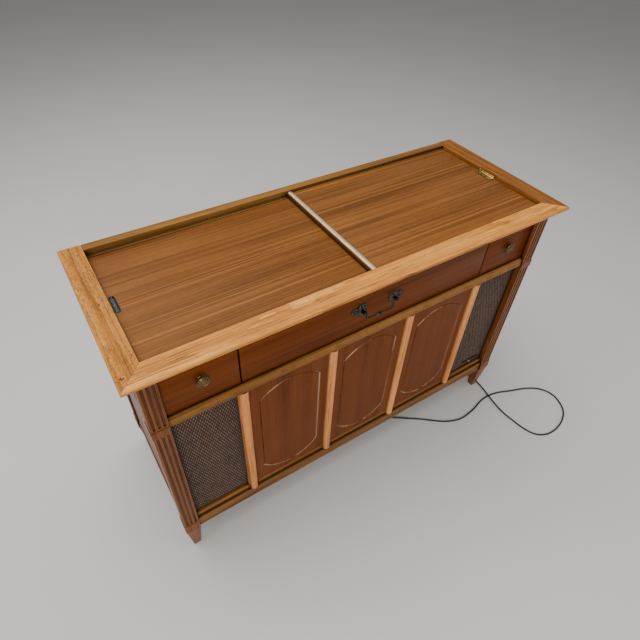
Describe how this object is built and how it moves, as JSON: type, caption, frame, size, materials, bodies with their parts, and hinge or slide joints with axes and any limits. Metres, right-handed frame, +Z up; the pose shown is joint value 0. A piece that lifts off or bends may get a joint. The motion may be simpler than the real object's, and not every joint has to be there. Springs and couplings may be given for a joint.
{
  "type": "radio phonograph console",
  "caption": "Low wooden radio phonograph console on tapered feet, with sliding lids over a record changer, tuner and record well, arched front panels, cloth grilles, bail pull and mains cord.",
  "frame": {"origin": "on the floor, in the middle of the cabinet's footprint", "axes": "+X to the right as seen from the front, -Y the front, +Z up"},
  "size_m": [1.3621, 0.7626, 0.77],
  "materials": {
    "honey_wood": "satin lacquer",
    "lid_wood": "satin lacquer",
    "case_wood": "satin lacquer",
    "rail_wood": "satin lacquer",
    "drawer_wood": "satin lacquer",
    "panel_wood": "satin lacquer",
    "column_wood": "satin lacquer",
    "plain_board": "unfinished",
    "hardboard": "pressed fibre board",
    "grille_cloth": "woven",
    "black_paint": "black paint",
    "grey_enamel": "baked enamel",
    "cast_metal": "cast and turned",
    "chrome": "polished",
    "steel": "plated",
    "champagne_metal": "champagne anodised",
    "antique_brass": "aged",
    "dark_pewter": "blackened",
    "rubber": "matte",
    "brown_plastic": "moulded",
    "cord_rubber": "smooth",
    "ivory_plastic": "moulded",
    "glass": "clear",
    "dial_red": "red enamel"
  },
  "bodies": {
    "cabinet": {"top_rail_front": "honey_wood", "top_rail_left": "honey_wood", "top_rail_right": "honey_wood", "top_rail_rear": "case_wood", "side_panel_left": "case_wood", "side_panel_right": "case_wood", "corner_post_front_left": "case_wood", "corner_post_front_right": "case_wood", "corner_post_rear_left": "case_wood", "corner_post_rear_right": "case_wood", "mid_rail": "rail_wood", "bottom_rail": "rail_wood", "drawer_front_left": "drawer_wood", "drawer_front_centre": "drawer_wood", "drawer_front_right": "drawer_wood", "column_1": "column_wood", "column_2": "column_wood", "column_3": "column_wood", "column_4": "column_wood", "arch_panel_left": "panel_wood", "arch_panel_centre": "panel_wood", "arch_panel_right": "panel_wood", "grille_cloth_left": "grille_cloth", "grille_cloth_right": "grille_cloth", "speaker_left": "black_paint", "speaker_right": "black_paint", "front_baffle": "plain_board", "bottom_board": "plain_board", "deck_board": "plain_board", "back_panel": "hardboard", "record_well": "plain_board", "changer_base": "grey_enamel", "motor": "steel", "spindle": "chrome", "control_panel": "panel_wood", "dial_glass": "glass", "radio_chassis": "steel", "pull_plate_left": "dark_pewter", "pull_plate_right": "dark_pewter", "drawer_knob_left": "antique_brass", "drawer_knob_right": "antique_brass", "pilot_lamp": "dark_pewter", "cord": "cord_rubber", "plug": "brown_plastic"},
    "left_lid": {"lid_left": "lid_wood", "lid_pull_left": "dark_pewter"},
    "right_lid": {"lid_right": "lid_wood", "lid_edge_trim": "champagne_metal", "lid_pull_right": "antique_brass"},
    "bail": {"bail_handle": "dark_pewter"},
    "platter": {"platter": "cast_metal"},
    "idler": {"idler_wheel": "rubber"},
    "pulley": {"motor_pulley": "steel"},
    "turret": {"tonearm_turret": "ivory_plastic"},
    "tonearm": {"tonearm": "ivory_plastic"},
    "changer_lever": {"changer_lever": "ivory_plastic"},
    "tuning_knob": {"tuning_knob": "brown_plastic"},
    "dial_pointer": {"dial_pointer": "dial_red"},
    "tone_knob": {"tone_knob": "brown_plastic"},
    "volume_knob": {"volume_knob": "brown_plastic"}
  },
  "joints": [
    {"name": "left_lid_slide", "type": "slide", "parent": "cabinet", "child": "left_lid", "axis": [1, 0, 0], "range_m": [0, 0.53]},
    {"name": "right_lid_slide", "type": "slide", "parent": "cabinet", "child": "right_lid", "axis": [1, 0, 0], "range_m": [-0.52, 0]},
    {"name": "bail_swing", "type": "hinge", "parent": "cabinet", "child": "bail", "pos_m": [0, -0.2003, 0.6694], "axis": [-1, 0, 0], "range_deg": [0, 85]},
    {"name": "platter_spin", "type": "hinge", "parent": "cabinet", "child": "platter", "pos_m": [-0.315, 0, 0.6396], "axis": [0, 0, 1], "continuous": true},
    {"name": "idler_spin", "type": "hinge", "parent": "cabinet", "child": "idler", "pos_m": [-0.39257, 0.07757, 0.6181], "axis": [0, 0, 1], "continuous": true},
    {"name": "pulley_spin", "type": "hinge", "parent": "cabinet", "child": "pulley", "pos_m": [-0.3768, 0.0618, 0.6181], "axis": [0, 0, 1], "continuous": true},
    {"name": "tonearm_swing", "type": "hinge", "parent": "cabinet", "child": "turret", "pos_m": [-0.14, 0.105, 0.6101], "axis": [0, 0, -1], "range_deg": [0, 42]},
    {"name": "tonearm_lift", "type": "hinge", "parent": "turret", "child": "tonearm", "pos_m": [-0.14, 0.105, 0.6516], "axis": [-1, 0, 0], "range_deg": [0, 20]},
    {"name": "changer_lever_turn", "type": "hinge", "parent": "cabinet", "child": "changer_lever", "pos_m": [-0.134, -0.124, 0.6101], "axis": [0, 0, 1], "range_deg": [-25, 25]},
    {"name": "tuning_turn", "type": "hinge", "parent": "cabinet", "child": "tuning_knob", "pos_m": [0.2166, -0.085, 0.6958], "axis": [0, 0, 1], "range_deg": [-360, 360]},
    {"name": "dial_pointer_slide", "type": "slide", "parent": "cabinet", "child": "dial_pointer", "axis": [1, 0, 0], "range_m": [-0.09, 0.09]},
    {"name": "tone_turn", "type": "hinge", "parent": "cabinet", "child": "tone_knob", "pos_m": [0.1216, -0.085, 0.6958], "axis": [0, 0, 1], "range_deg": [-150, 150]},
    {"name": "volume_turn", "type": "hinge", "parent": "cabinet", "child": "volume_knob", "pos_m": [0.0566, -0.085, 0.6958], "axis": [0, 0, -1], "range_deg": [0, 300]}
  ],
  "couplings": [
    {"joint": "idler_spin", "follows": "platter_spin", "ratio": 7.1111},
    {"joint": "pulley_spin", "follows": "platter_spin", "ratio": -32},
    {"joint": "dial_pointer_slide", "follows": "tuning_turn", "m_per_rad": 0.0143}
  ]
}
